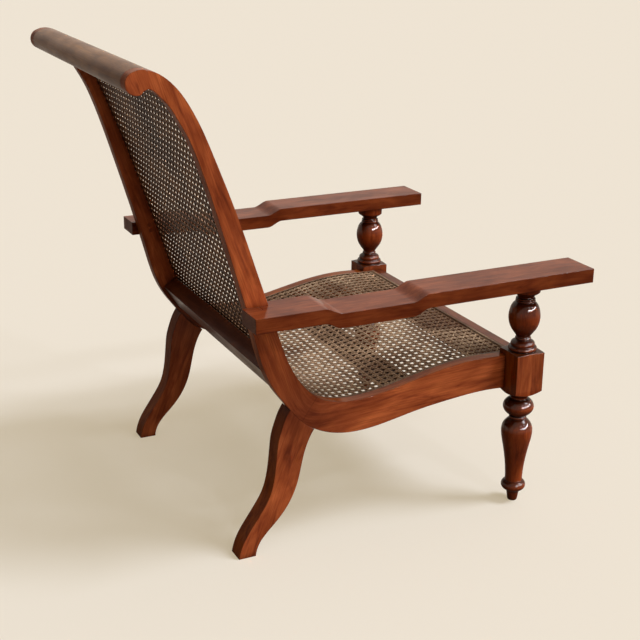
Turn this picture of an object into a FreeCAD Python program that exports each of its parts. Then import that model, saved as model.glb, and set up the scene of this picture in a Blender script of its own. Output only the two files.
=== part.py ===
import FreeCAD, Part
import math
import os
import Sketcher

from FreeCAD import Placement, Rotation, Vector

# A planters chair: two curved side frames, a scroll-topped back, turned front legs, swept rear legs,
# long flat arms and one sheet of cane from the crest to the front rail.
# Millimetres. +Z is up, the chair faces -Y, and X runs from the sitter's right (-X) to the left (+X).
# The origin is on the floor, under the middle of the chair.

os.makedirs("parts", exist_ok=True)
doc = FreeCAD.newDocument("PlantersChair")

# Driving sizes
SIZES = {
    "depth": 949,
    "height": 963,
    "frame_width": 654,
    "frame_thick": 26,
    "roll_dia": 40.5,
    "crown_rise": 2.6,
    "neck_depth": 30,
    "waist_depth": 29,
    "stile_depth": 35.5,
    "elbow_depth": 40,
    "hip_depth": 46,
    "heel_depth": 49.5,
    "heel_low_depth": 56,
    "rail_heel_depth": 63,
    "rail_back_depth": 67,
    "rail_front_depth": 72.5,
    "seat_front_height": 334,
    "tongue_thick": 9,
    "tongue_length": 16,
    "tongue_inset": 9,
    "arm_top": 520,
    "arm_thick": 29,
    "arm_width": 88,
    "arm_lap": 23.5,
    "arm_dip": 13,
    "arm_tail": 8,
    "arm_step": 36,
    "arm_rear_flat": 139,
    "arm_low_flat": 152,
    "post_setback": 93,
    "block_width": 66,
    "block_lap_share": 0.827,
    "block_drop": 74,
    "block_rise": 13,
    "post_tenon_dia": 25,
    "post_tenon_length": 18,
    "front_rail_thick": 28,
    "front_rail_height": 71,
    "front_rail_inset": 22,
    "rail_tenon_thick": 12,
    "rail_tenon_height": 44,
    "rail_tenon_length": 24,
    "back_rail_thick": 35,
    "back_rail_height": 60,
    "back_rail_reach": 63,
    "back_rail_gap": 1,
    "stretcher_thick": 34,
    "stretcher_height": 42,
    "stretcher_drop": 16,
    "stretcher_setback": 211.5,
    "stub_tenon_thick": 12,
    "stub_tenon_height": 28,
    "stub_tenon_length": 13,
    "crest_reach": 43,
    "crest_dowel_dia": 9,
    "crest_dowel_length": 32,
    "leg_thick": 38,
    "leg_foot_width": 36,
    "leg_reach": 135.3,
    "leg_top_rear": 38,
    "leg_top_front": 33.5,
    "leg_dowel_dia": 10,
    "leg_dowel_length": 46,
    "leg_dowel_rear": 25,
    "leg_dowel_front": 18,
    "rebate_share": 0.154,
    "rebate_depth": 5,
    "cane_thick": 3.5,
    "cane_lap": 6,
    "bead_gap": 0.5,
    "screw_dia": 4.5,
    "screw_length": 44,
    "screw_head_dia": 9,
    "screw_head_depth": 3,
    "overrun": 2,
}

sheet = doc.addObject("Spreadsheet::Sheet", "Sizes")
for row, (alias, value) in enumerate(SIZES.items(), start=1):
    sheet.set(f"A{row}", alias)
    sheet.set(f"B{row}", str(value))
    sheet.setAlias(f"B{row}", alias)
doc.recompute()


def size(alias):
    """A driving size read back from the sheet."""
    return float(sheet.get(alias))


# Sizes that follow from the driving ones
FRAME_OUTER = size("frame_width") / 2
FRAME_INNER = FRAME_OUTER - size("frame_thick")
ARM_FRONT = -size("depth") / 2
BLOCK_FRONT = ARM_FRONT + size("post_setback")
BLOCK_REAR = BLOCK_FRONT + size("block_width")
ARM_UNDER = size("arm_top") - size("arm_thick")
BLOCK_INNER = FRAME_OUTER - size("frame_thick") * size("block_lap_share")
FRONT_RAIL_REAR = BLOCK_REAR - size("front_rail_inset")
BLOCK_TOP = size("seat_front_height") + size("block_rise")
BLOCK_BOTTOM = size("seat_front_height") - size("block_drop")
ROLL_RADIUS = size("roll_dia") / 2
ROLL_CENTRE = Vector(size("depth") / 2 - ROLL_RADIUS, size("height") - size("crown_rise") - ROLL_RADIUS, 0)
SIDES = {"right": -1, "left": 1}

# Side profile, seen from the sitter's left, as points (y, z) of the sitting line, the edge of the side
# frame that carries the cane. Each point also names the depth of the frame behind or under it,
# measured square to the line.
ROLL_TOP_ANGLE = 72
ROLL_UNDER_ANGLE = 250
# From the roll's centre, as shares of its diameter
SCROLL_SHARES = [
    (-0.374, 0.555, None),
    (-0.786, 0.435, None),
    (-1.312, 0.110, "neck_depth"),
]
SCROLL_UNDER_SHARES = [(-0.300, -0.335), (-0.450, -0.262), (-0.620, -0.285)]
# y as a share of the overall depth, z as a share of the rise from the seat's front to the top
BACK_SHARES = [
    (0.3962, 0.9284, "neck_depth"),
    (0.3778, 0.8844, "neck_depth"),
    (0.3630, 0.8414, "waist_depth"),
    (0.3393, 0.7571, "waist_depth"),
    (0.2940, 0.5790, "stile_depth"),
    (0.2529, 0.3945, "elbow_depth"),
    (0.2129, 0.2100, "hip_depth"),
    (0.1876, 0.1018, "heel_depth"),
    (0.1718, 0.0557, "heel_depth"),
    (0.1507, 0.0112, "heel_depth"),
]
# y as a share of the overall depth, z as a share of the height of the seat's front
SEAT_SHARES = [
    (0.1243, 0.9521, "heel_low_depth"),
    (0.0896, 0.9057, "rail_heel_depth"),
    (0.0474, 0.8877, "rail_back_depth"),
    (-0.0105, 0.8952, "rail_back_depth"),
    (-0.0948, 0.9386, "rail_back_depth"),
    (-0.1897, 0.9895, "rail_front_depth"),
    (-0.2740, 1.0060, "rail_front_depth"),
]

# Swept rear leg: outline points as shares of the reach from the foot to the joint, measured
# from the back of the foot, and of the joint's height
LEG_REAR_SHARES = [(-0.027, 0.060), (-0.078, 0.126), (-0.170, 0.205), (-0.298, 0.305), (-0.402, 0.401),
                   (-0.471, 0.536), (-0.505, 0.695), (-0.537, 0.815), (-0.571, 0.873), (-0.620, 0.943)]
LEG_FRONT_SHARES = [(-0.292, 0.124), (-0.475, 0.251), (-0.667, 0.405), (-0.783, 0.581), (-0.841, 0.746),
                    (-0.897, 0.872)]

# Turned front leg: (height share, radius share). The heights below the block are shares of the
# block's underside height, those above it are shares of the way from the block to the arm, and
# the radii are shares of half the square blank.
FOOT_SHARES = [(0.0, 0.29), (0.008, 0.32), (0.072, 0.40)]
ANKLE_RING_SHARES = [(0.097, 0.50), (0.139, 0.79), (0.181, 0.55)]
VASE_SHARES = [(0.181, 0.55), (0.255, 0.57), (0.36, 0.65), (0.487, 0.82), (0.610, 0.99), (0.672, 0.955),
               (0.717, 0.74), (0.742, 0.52)]
NECK_RING_SHARES = [(0.742, 0.52), (0.754, 0.555), (0.766, 0.48)]
BALL_SHARES = [(0.770, 0.45), (0.787, 0.74), (0.846, 0.985), (0.900, 0.78), (0.918, 0.54)]
SHOULDER_SHARES = [(0.932, 0.54), (0.947, 0.62), (0.963, 0.83), (0.982, 1.13), (1.0, 1.43)]
BLOCK_TOP_SLOPE_SHARES = [(0.975, 1.43), (1.0, 0.86)]
BASE_BEAD_SHARES = [(0.0, 0.83), (0.032, 0.90), (0.064, 0.82)]
BELL_SHARES = [(0.068, 0.73), (0.082, 0.745), (0.105, 0.755), (0.130, 0.69), (0.150, 0.56), (0.165, 0.45)]
BELL_RING_SHARES = [(0.165, 0.45), (0.182, 0.50), (0.199, 0.44)]
EGG_SHARES = [(0.208, 0.43), (0.271, 0.62), (0.329, 0.79), (0.388, 0.905), (0.504, 0.99), (0.620, 0.92),
              (0.666, 0.845), (0.705, 0.735), (0.732, 0.57)]
TOP_RING_SHARES = [(0.732, 0.57), (0.747, 0.63), (0.762, 0.57)]
UPPER_RING_SHARES = [(0.762, 0.55), (0.777, 0.61), (0.792, 0.54)]
COLLAR_SHARES = [(0.797, 0.50), (0.820, 0.54), (0.845, 0.66), (0.868, 0.81), (0.885, 0.88)]
COLLAR_EDGE_SHARE = 0.91

# Openings in the cane sheet, counted across and along it, and the share of each one's step that is open
OPENINGS_ACROSS = 12
OPENINGS_ALONG = 22
OPENING_SHARE = 0.54

CANE_STATIONS = 60
DEGREE = math.pi / 180


def spline(points):
    """A smooth curve through the points."""
    curve = Part.BSplineCurve()
    curve.interpolate(points)
    return curve


def normal_at(curve, parameter):
    """The direction square to a profile curve, on the side away from the sitter."""
    along = curve.tangent(parameter)[0]
    return Vector(-along.y, along.x, 0)


def parameter_where(curve, axis, value, first, last):
    """The parameter between first and last at which the curve's coordinate reaches value."""
    rising = getattr(curve.value(last), axis) > getattr(curve.value(first), axis)
    low, high = first, last
    for _ in range(60):
        middle = (low + high) / 2
        if (getattr(curve.value(middle), axis) < value) == rising:
            low = middle
        else:
            high = middle
    return (low + high) / 2


def piece_of(curve, first, last):
    """A copy of a curve between two parameters."""
    part = curve.copy()
    part.segment(first, last)
    return part


def line(start, end):
    return Part.LineSegment(start, end)


def roll_point(angle):
    return ROLL_CENTRE + Vector(math.cos(angle * DEGREE), math.sin(angle * DEGREE), 0) * ROLL_RADIUS


# Side profile curves
roll_top = roll_point(ROLL_TOP_ANGLE)
roll_under = roll_point(ROLL_UNDER_ANGLE)
seat_height = size("seat_front_height")
back_rise = size("height") - seat_height
scroll_stations = [ROLL_CENTRE + Vector(y, z, 0) * size("roll_dia") for y, z, _ in SCROLL_SHARES]
back_stations = [Vector(y * size("depth"), seat_height + z * back_rise, 0) for y, z, _ in BACK_SHARES]
seat_stations = [Vector(y * size("depth"), z * seat_height, 0) for y, z, _ in SEAT_SHARES]
stations = scroll_stations + back_stations + seat_stations
depth_names = [names[2] for names in SCROLL_SHARES + BACK_SHARES + SEAT_SHARES]
seat_front = Vector(BLOCK_REAR, size("seat_front_height"), 0)
cane_front = Vector(FRONT_RAIL_REAR - size("cane_lap"), size("seat_front_height"), 0)
sitting_line = spline([roll_top] + stations + [seat_front, cane_front])
under_points = [roll_under]
under_points += [ROLL_CENTRE + Vector(y, z, 0) * size("roll_dia") for y, z in SCROLL_UNDER_SHARES]
for point, depth_name in zip(stations, depth_names):
    if depth_name:
        at = sitting_line.parameter(point)
        under_points.append(point + normal_at(sitting_line, at) * size(depth_name))
rail_end_low = seat_front - Vector(0, size("rail_front_depth"), 0)
under_line = spline(under_points + [rail_end_low])

# Places along the two curves
LINE_START, LINE_END = sitting_line.FirstParameter, sitting_line.LastParameter
UNDER_START, UNDER_END = under_line.FirstParameter, under_line.LastParameter
u_joint = sitting_line.parameter(seat_stations[0])
u_block = sitting_line.parameter(seat_front)
joint_front = seat_stations[0]
joint_normal = normal_at(sitting_line, u_joint)
u_under_joint = under_line.parameter(joint_front + joint_normal * size("heel_low_depth"))
joint_rear = under_line.value(u_under_joint)
u_leg_rear = under_line.parameterAtDistance(-size("leg_top_rear"), u_under_joint)
u_leg_front = under_line.parameterAtDistance(size("leg_top_front"), u_under_joint)
u_arm = parameter_where(under_line, "y", size("arm_top"), UNDER_START, u_leg_rear)
STILE_REAR_AT_ARM = under_line.value(u_arm).x
ARM_REAR = STILE_REAR_AT_ARM + size("arm_tail")


def along_from_roll(distance):
    """The sitting line's parameter at a distance from the roll."""
    return sitting_line.parameterAtDistance(distance, LINE_START)


u_cane_top = along_from_roll(size("crest_reach") - size("cane_lap"))


def set_back(setback):
    """A copy of the sitting line along the cane, set back from it, with the same parameters."""
    steps = [u_cane_top + (LINE_END - u_cane_top) * i / (CANE_STATIONS - 1) for i in range(CANE_STATIONS)]
    curve = Part.BSplineCurve()
    points = [sitting_line.value(u) + normal_at(sitting_line, u) * setback for u in steps]
    curve.interpolate(Points=points, Parameters=steps)
    return curve


def strip(inner, outer, first, last):
    """A face between two copies of the sitting line, set back from it by inner and by outer."""
    curves = [set_back(setback) for setback in (inner, outer)]
    edges = [piece_of(curve, first, last).toShape() for curve in curves]
    for u in (first, last):
        edges.append(Part.makeLine(curves[0].value(u), curves[1].value(u)))
    return Part.Face(Part.Wire(Part.__sortEdges__(edges)))


def swept_across(face, x_low, x_high):
    """A profile face drawn in (y, z), stood up and extruded across the chair from x_low to x_high."""
    shape = face.copy()
    shape.Placement = Placement(Vector(x_low, 0, 0), Rotation(Vector(0, 1, 0), Vector(0, 0, 1), Vector(1, 0, 0)))
    return shape.extrude(Vector(x_high - x_low, 0, 0))


# Helpers for bodies

def new_body(name):
    return doc.addObject("PartDesign::Body", name)


def origin_plane(body, role):
    for feature in body.Origin.OriginFeatures:
        if feature.Role == role:
            return feature
    raise ValueError(role)


def sketch_on(body, role, name, geometry, offset=None):
    """A sketch of the given curves on one of the body's own planes."""
    sketch = body.newObject("Sketcher::SketchObject", name)
    sketch.AttachmentSupport = [(origin_plane(body, role), "")]
    sketch.MapMode = "FlatFace"
    if offset:
        sketch.setExpression("AttachmentOffset.Base.z", offset)
    sketch.addGeometry(geometry, False)
    return sketch


def rectangle_on(body, role, name, width, height, offset=None):
    """A sketch of a rectangle about the plane's origin, with its sides bound to two expressions."""
    corners = [Vector(-1, -1, 0), Vector(1, -1, 0), Vector(1, 1, 0), Vector(-1, 1, 0)]
    drawn = corners[2] - corners[0]
    sides = [line(corners[i], corners[(i + 1) % 4]) for i in range(4)]
    sketch = sketch_on(body, role, name, sides, offset)
    for i in range(4):
        sketch.addConstraint(Sketcher.Constraint("Coincident", i, 2, (i + 1) % 4, 1))
    sketch.addConstraint(Sketcher.Constraint("Horizontal", 0))
    sketch.addConstraint(Sketcher.Constraint("Horizontal", 2))
    sketch.addConstraint(Sketcher.Constraint("Vertical", 1))
    sketch.addConstraint(Sketcher.Constraint("Vertical", 3))
    sketch.addConstraint(Sketcher.Constraint("Symmetric", 0, 1, 2, 1, -1, 1))
    across = sketch.addConstraint(Sketcher.Constraint("DistanceX", 0, 1, 0, 2, drawn.x))
    upward = sketch.addConstraint(Sketcher.Constraint("DistanceY", 1, 1, 1, 2, drawn.y))
    sketch.renameConstraint(across, "across")
    sketch.renameConstraint(upward, "upward")
    sketch.setExpression("Constraints.across", width)
    sketch.setExpression("Constraints.upward", height)
    return sketch


def pad(body, name, sketch, length, both_ways=False, reverse=False):
    feature = body.newObject("PartDesign::Pad", name)
    feature.Profile = sketch
    feature.setExpression("Length", length)
    if both_ways:
        feature.SideType = "Symmetric"
    feature.Reversed = reverse
    return feature


def frame_body(name, side, outline):
    """A board cut to a profile drawn in (y, z), as thick as the side frame, on one side."""
    body = new_body(name)
    pad(body, name + "_board", sketch_on(body, "YZ_Plane", name + "_outline", outline), "Sizes.frame_thick")
    if side < 0:
        body.setExpression("Placement.Base.x", "-Sizes.frame_width / 2")
    else:
        body.setExpression("Placement.Base.x", "Sizes.frame_width / 2 - Sizes.frame_thick")
    return body


def cut(label, base, tools):
    """The base less all the tools, as one named sub-part."""
    result = doc.addObject("Part::Cut", label)
    result.Base = base
    if len(tools) == 1:
        result.Tool = tools[0]
    else:
        joined = doc.addObject("Part::Compound", label + "_tools")
        joined.Links = tools
        result.Tool = joined
    result.Label = label
    return result


def plain_feature(label, shape):
    feature = doc.addObject("Part::Feature", label)
    feature.Shape = shape
    feature.Label = label
    return feature


subparts = {}

# Back stile and seat rail, drawn as one curved side frame and parted at a butt joint over the
# rear leg, with a stub tongue on the rail inside the stile's heel
scroll_arc = Part.ArcOfCircle(Part.Circle(ROLL_CENTRE, Vector(0, 0, 1), ROLL_RADIUS),
                              (ROLL_UNDER_ANGLE - 360) * DEGREE, ROLL_TOP_ANGLE * DEGREE)
stile_outline = [
    scroll_arc,
    piece_of(sitting_line, LINE_START, u_joint),
    line(joint_front, joint_rear),
    piece_of(under_line, UNDER_START, u_under_joint),
]
rail_outline = [
    piece_of(sitting_line, u_joint, u_block),
    line(seat_front, rail_end_low),
    piece_of(under_line, u_under_joint, UNDER_END),
    line(joint_rear, joint_front),
]


def tongue_outline():
    """The tongue's outline: it starts inside the rail and crosses the joint into the stile."""
    down = (joint_rear - joint_front).normalize()
    into_stile = Vector(-down.y, down.x, 0)
    if into_stile.y < 0:
        into_stile = into_stile * -1
    near = joint_front + down * size("tongue_inset")
    far = joint_rear - down * size("tongue_inset")
    reach = into_stile * size("tongue_length")
    root = into_stile * -size("tongue_inset")
    corners = [near + root, far + root, far + reach, near + reach]
    return [line(corners[i], corners[(i + 1) % 4]) for i in range(4)]


def front_tenon_outline():
    """The tenon at the front of the seat rail, which enters the leg's block."""
    middle = (seat_front + rail_end_low) * 0.5
    half = Vector(0, size("rail_tenon_height") / 2, 0)
    root = Vector(size("tongue_inset"), 0, 0)
    reach = Vector(-size("rail_tenon_length"), 0, 0)
    corners = [middle - half + root, middle + half + root, middle + half + reach, middle - half + reach]
    return [line(corners[i], corners[(i + 1) % 4]) for i in range(4)]


stile_bodies = {}
rail_bodies = {}
for side_name, side in SIDES.items():
    stile_bodies[side_name] = frame_body(side_name + "_stile_body", side, stile_outline)
    rail = frame_body(side_name + "_seat_rail_body", side, rail_outline)
    tongue = sketch_on(rail, "YZ_Plane", side_name + "_tongue_outline", tongue_outline(),
                       "(Sizes.frame_thick - Sizes.tongue_thick) / 2")
    pad(rail, side_name + "_tongue", tongue, "Sizes.tongue_thick")
    if side < 0:
        tenon_from = "(Sizes.frame_thick * Sizes.block_lap_share - Sizes.rail_tenon_thick) / 2"
    else:
        tenon_from = "Sizes.frame_thick - (Sizes.frame_thick * Sizes.block_lap_share + Sizes.rail_tenon_thick) / 2"
    tenon = sketch_on(rail, "YZ_Plane", side_name + "_front_tenon_outline", front_tenon_outline(), tenon_from)
    pad(rail, side_name + "_front_tenon", tenon, "Sizes.rail_tenon_thick")
    rail_bodies[side_name] = rail

# Crest rail: the scroll's own section between the stiles, down to where the cane starts
u_crest = along_from_roll(size("crest_reach"))
crest_low = sitting_line.value(u_crest)
u_crest_under = under_line.parameter(crest_low + normal_at(sitting_line, u_crest) * size("neck_depth"))
crest_outline = [
    scroll_arc,
    piece_of(sitting_line, LINE_START, u_crest),
    line(crest_low, under_line.value(u_crest_under)),
    piece_of(under_line, UNDER_START, u_crest_under),
]
crest_body = new_body("crest_body")
pad(crest_body, "crest_board", sketch_on(crest_body, "YZ_Plane", "crest_outline", crest_outline),
    "Sizes.frame_width - 2 * Sizes.frame_thick", both_ways=True)


def cross_rail(name, thick, height, tenon_thick, tenon_height, tenon_length, gap):
    """A straight board across the chair with a stub tenon at each end."""
    body = new_body(name)
    section = rectangle_on(body, "YZ_Plane", name + "_section", thick, height)
    pad(body, name + "_board", section, gap, both_ways=True)
    stub = rectangle_on(body, "YZ_Plane", name + "_tenon_section", tenon_thick, tenon_height)
    pad(body, name + "_tenons", stub, gap + " + 2 * " + tenon_length, both_ways=True)
    return body


FRAME_GAP = "Sizes.frame_width - 2 * Sizes.frame_thick"
BLOCK_GAP = "Sizes.frame_width - 2 * Sizes.frame_thick * Sizes.block_lap_share"
front_rail_body = cross_rail("front_rail_body", "Sizes.front_rail_thick", "Sizes.front_rail_height",
                             "Sizes.rail_tenon_thick", "Sizes.rail_tenon_height",
                             "Sizes.rail_tenon_length", BLOCK_GAP)
front_rail_body.setExpression(
    "Placement.Base.y",
    "-Sizes.depth / 2 + Sizes.post_setback + Sizes.block_width - Sizes.front_rail_inset"
    " - Sizes.front_rail_thick / 2")
front_rail_body.setExpression("Placement.Base.z", "Sizes.seat_front_height - Sizes.front_rail_height / 2")

stretcher_body = cross_rail("seat_stretcher", "Sizes.stretcher_thick", "Sizes.stretcher_height",
                            "Sizes.stub_tenon_thick", "Sizes.stub_tenon_height",
                            "Sizes.stub_tenon_length", FRAME_GAP)
stretcher_body.Label = "seat_stretcher"
stretcher_y = BLOCK_REAR + size("stretcher_setback")
u_stretcher = parameter_where(sitting_line, "x", stretcher_y, u_joint, LINE_END)
stretcher_z = sitting_line.value(u_stretcher).y - size("stretcher_drop") - size("stretcher_height") / 2
stretcher_body.Placement.Base = Vector(0, stretcher_y, stretcher_z)
subparts["seat_stretcher"] = stretcher_body

back_rail_body = cross_rail("lower_back_rail", "Sizes.back_rail_thick", "Sizes.back_rail_height",
                            "Sizes.stub_tenon_thick", "Sizes.stub_tenon_height",
                            "Sizes.stub_tenon_length", FRAME_GAP)
back_rail_body.Label = "lower_back_rail"
u_back_rail = sitting_line.parameterAtDistance(-size("back_rail_reach"), u_joint)
back_rail_way = normal_at(sitting_line, u_back_rail)
back_rail_setback = size("rebate_depth") + size("back_rail_gap") + size("back_rail_thick") / 2
back_rail_at = sitting_line.value(u_back_rail) + back_rail_way * back_rail_setback
back_rail_body.Placement = Placement(Vector(0, back_rail_at.x, back_rail_at.y),
                                     Rotation(Vector(1, 0, 0), math.atan2(back_rail_way.y, back_rail_way.x) / DEGREE))
subparts["lower_back_rail"] = back_rail_body

# Cane sheet, its rebate round the seat and back, and the beading over its edge
cane_edge = FRAME_INNER + size("frame_thick") * size("rebate_share")
bed = plain_feature("cane_bed", swept_across(
    strip(-size("overrun"), size("rebate_depth"), u_cane_top, LINE_END), -cane_edge, cane_edge))
cane_top_face = size("rebate_depth") - size("cane_thick")
u_bead_low = sitting_line.parameter(cane_front + Vector(size("cane_lap"), 0, 0))


def cane_openings():
    """A plain grid of square openings over the open part of the sheet, which stands for its fine mesh."""
    across = 2 * FRAME_INNER / OPENINGS_ACROSS
    along = sitting_line.length(u_crest, u_bead_low) / OPENINGS_ALONG
    wide = across * OPENING_SHARE
    long = along * OPENING_SHARE
    deep = 2 * (size("cane_thick") + size("overrun"))
    boxes = []
    for row in range(OPENINGS_ALONG):
        u = sitting_line.parameterAtDistance((row + 0.5) * along, u_crest)
        way = normal_at(sitting_line, u)
        middle = sitting_line.value(u) + way * (size("rebate_depth") - size("cane_thick") / 2)
        turn = Rotation(Vector(1, 0, 0), Vector(0, -way.y, way.x), Vector(0, way.x, way.y))
        for column in range(OPENINGS_ACROSS):
            box = Part.makeBox(wide, long, deep, Vector(-wide / 2, -long / 2, -deep / 2))
            box.Placement = Placement(Vector((column + 0.5) * across - FRAME_INNER, middle.x, middle.y), turn)
            boxes.append(box)
    return Part.makeCompound(boxes)


cane_sheet = swept_across(strip(cane_top_face, size("rebate_depth"), u_cane_top, LINE_END), -cane_edge, cane_edge)
subparts["cane_panel"] = plain_feature("cane_panel", cane_sheet.cut(cane_openings()))
bead_under = cane_top_face - size("bead_gap")
side_bead = strip(0, bead_under, u_crest, u_bead_low)
bead_strips = [
    swept_across(side_bead, -cane_edge, -FRAME_INNER),
    swept_across(side_bead, FRAME_INNER, cane_edge),
    swept_across(strip(0, bead_under, u_cane_top, u_crest), -cane_edge, cane_edge),
    swept_across(strip(0, bead_under, u_bead_low, LINE_END), -cane_edge, cane_edge),
]
subparts["cane_beading"] = plain_feature("cane_beading", Part.makeCompound(bead_strips))

# Turned front legs: one profile from foot to arm tenon, turned from a square blank
BLANK_RADIUS = size("block_width") / 2


def below_block(shares):
    return [Vector(r * BLANK_RADIUS, z * BLOCK_BOTTOM, 0) for z, r in shares]


def above_block(shares):
    rise = ARM_UNDER - BLOCK_TOP
    return [Vector(r * BLANK_RADIUS, BLOCK_TOP + z * rise, 0) for z, r in shares]


def bead(points):
    """A half-round bead through three points."""
    return Part.Arc(points[0], points[1], points[2])


def turned_profile():
    """The closed half profile of the front leg, with radius as x and height as y."""
    foot = below_block(FOOT_SHARES)
    ankle = below_block(ANKLE_RING_SHARES)
    vase = below_block(VASE_SHARES)
    neck = below_block(NECK_RING_SHARES)
    ball = below_block(BALL_SHARES)
    shoulder = below_block(SHOULDER_SHARES)
    slope = [Vector(r * BLANK_RADIUS, BLOCK_BOTTOM + z * (BLOCK_TOP - BLOCK_BOTTOM), 0)
             for z, r in BLOCK_TOP_SLOPE_SHARES]
    base = above_block(BASE_BEAD_SHARES)
    bell = above_block(BELL_SHARES)
    bell_ring = above_block(BELL_RING_SHARES)
    egg = above_block(EGG_SHARES)
    top_ring = above_block(TOP_RING_SHARES)
    upper_ring = above_block(UPPER_RING_SHARES)
    collar = above_block(COLLAR_SHARES)
    collar_edge = Vector(COLLAR_EDGE_SHARE * BLANK_RADIUS, ARM_UNDER, 0)
    tenon_low = Vector(size("post_tenon_dia") / 2, ARM_UNDER, 0)
    tenon_top = tenon_low + Vector(0, size("post_tenon_length"), 0)
    axis_top = Vector(0, tenon_top.y, 0)
    axis_low = Vector(0, 0, 0)
    runs = [
        [line(axis_low, foot[0])], [line(foot[0], foot[1])], [line(foot[1], foot[2])],
        [bead(ankle)], [spline(vase)], [bead(neck)], [spline(ball)], [spline(shoulder)],
        [line(slope[0], slope[1])], [bead(base)], [spline(bell)], [bead(bell_ring)], [spline(egg)],
        [bead(top_ring)], [bead(upper_ring)], [spline(collar)], [line(collar[-1], collar_edge)],
        [line(collar_edge, tenon_low)], [line(tenon_low, tenon_top)], [line(tenon_top, axis_top)],
    ]
    chain = []
    end = axis_low
    for run in runs:
        start = run[0].value(run[0].FirstParameter)
        if (start - end).Length > size("overrun") * 1e-6:
            chain.append(line(end, start))
        chain += run
        end = run[-1].value(run[-1].LastParameter)
    chain.append(line(end, axis_low))
    return chain


front_legs = {}
for side_name, side in SIDES.items():
    label = side_name + "_front_leg"
    turned = new_body(label + "_turning")
    profile = sketch_on(turned, "XZ_Plane", label + "_profile", turned_profile())
    revolution = turned.newObject("PartDesign::Revolution", label + "_revolution")
    revolution.Profile = profile
    revolution.ReferenceAxis = (profile, ["V_Axis"])
    revolution.Angle = 360
    turned.setExpression("Placement.Base.x", f"{side} * ({BLOCK_GAP} + Sizes.block_width) / 2")
    turned.setExpression("Placement.Base.y", "-Sizes.depth / 2 + Sizes.post_setback + Sizes.block_width / 2")
    blank = doc.addObject("Part::Box", label + "_blank")
    blank.setExpression("Length", "Sizes.block_width")
    blank.setExpression("Width", "Sizes.block_width")
    blank.setExpression("Height", "Sizes.arm_top")
    blank.setExpression("Placement.Base.x", f"{side} * ({BLOCK_GAP} + Sizes.block_width) / 2"
                        " - Sizes.block_width / 2")
    blank.setExpression("Placement.Base.y", "-Sizes.depth / 2 + Sizes.post_setback")
    squared = doc.addObject("Part::Common", label + "_squared")
    squared.Base = turned
    squared.Tool = blank
    front_legs[side_name] = squared

# Arms: one flat board each, dipped in the middle, notched round the outside of the stile
def arm_outline():
    top = size("arm_top")
    dip = Vector(0, -size("arm_dip"), 0)
    thick = Vector(0, -size("arm_thick"), 0)
    step = Vector(size("arm_step"), 0, 0)
    rear_step = ARM_REAR - size("arm_rear_flat")
    rear_low = rear_step - size("arm_step")
    front_low = rear_low - size("arm_low_flat")
    front_step = front_low - size("arm_step")

    def level(y, drop):
        return Vector(y, top, 0) + drop

    def swoop(start, end):
        """An S from one level to another, flat at both ends."""
        third = Vector((end.x - start.x) / 3, 0, 0)
        curve = Part.BezierCurve()
        curve.setPoles([start, start + third, end - third, end])
        return curve.toBSpline()

    zero = Vector(0, 0, 0)
    upper = [level(ARM_FRONT, zero), level(front_step, zero), level(front_low, dip), level(rear_low, dip),
             level(rear_step, zero), level(ARM_REAR, zero)]
    lower = [point + thick for point in upper]
    curves = []
    for row in (upper, lower):
        curves += [line(row[0], row[1]), swoop(row[1], row[2]), line(row[2], row[3]),
                   swoop(row[3], row[4]), line(row[4], row[5])]
    curves += [line(upper[0], lower[0]), line(upper[5], lower[5])]
    return curves


arm_bodies = {}
for side_name, side in SIDES.items():
    arm = new_body(side_name + "_arm_body")
    pad(arm, side_name + "_arm_board", sketch_on(arm, "YZ_Plane", side_name + "_arm_outline", arm_outline()),
        "Sizes.arm_width")
    if side < 0:
        arm.setExpression("Placement.Base.x", "-Sizes.frame_width / 2 + Sizes.arm_lap - Sizes.arm_width")
    else:
        arm.setExpression("Placement.Base.x", "Sizes.frame_width / 2 - Sizes.arm_lap")
    arm_bodies[side_name] = arm

# Swept rear legs, shaped to the underside of the frame at the top
leg_rear_top = under_line.value(u_leg_rear)
leg_front_top = under_line.value(u_leg_front)
FOOT_BACK = joint_rear.x + size("leg_reach")
FOOT_REACH = FOOT_BACK - leg_front_top.x


def leg_points(shares, joint):
    return [Vector(FOOT_BACK + y * FOOT_REACH, z * joint.y, 0) for y, z in shares]


foot_rear = Vector(FOOT_BACK, 0, 0)
foot_front = Vector(FOOT_BACK - size("leg_foot_width"), 0, 0)
leg_outline = [
    spline([foot_rear] + leg_points(LEG_REAR_SHARES, leg_rear_top) + [leg_rear_top]),
    piece_of(under_line, u_leg_rear, u_leg_front),
    spline([leg_front_top] + leg_points(LEG_FRONT_SHARES, leg_front_top)[::-1] + [foot_front]),
    line(foot_front, foot_rear),
]
rear_leg_bodies = {}
for side_name, side in SIDES.items():
    leg = new_body(side_name + "_rear_leg_body")
    pad(leg, side_name + "_rear_leg_board",
        sketch_on(leg, "YZ_Plane", side_name + "_rear_leg_outline", leg_outline), "Sizes.leg_thick")
    if side < 0:
        leg.setExpression("Placement.Base.x", "-Sizes.frame_width / 2")
    else:
        leg.setExpression("Placement.Base.x", "Sizes.frame_width / 2 - Sizes.leg_thick")
    rear_leg_bodies[side_name] = leg


# Dowels and screws
def dowel(name, diameter, length, middle, direction):
    """A round dowel with its middle at a point and its axis along a direction."""
    rod = doc.addObject("Part::Cylinder", name)
    rod.setExpression("Radius", diameter + " / 2")
    rod.setExpression("Height", length)
    half = rod.evalExpression(length) / 2
    way = Vector(direction)
    way.normalize()
    rod.Placement = Placement(middle - way * float(half), Rotation(Vector(0, 0, 1), way))
    return rod


def group(label, members):
    joined = doc.addObject("Part::Compound", label)
    joined.Links = members
    joined.Label = label
    return joined


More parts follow.
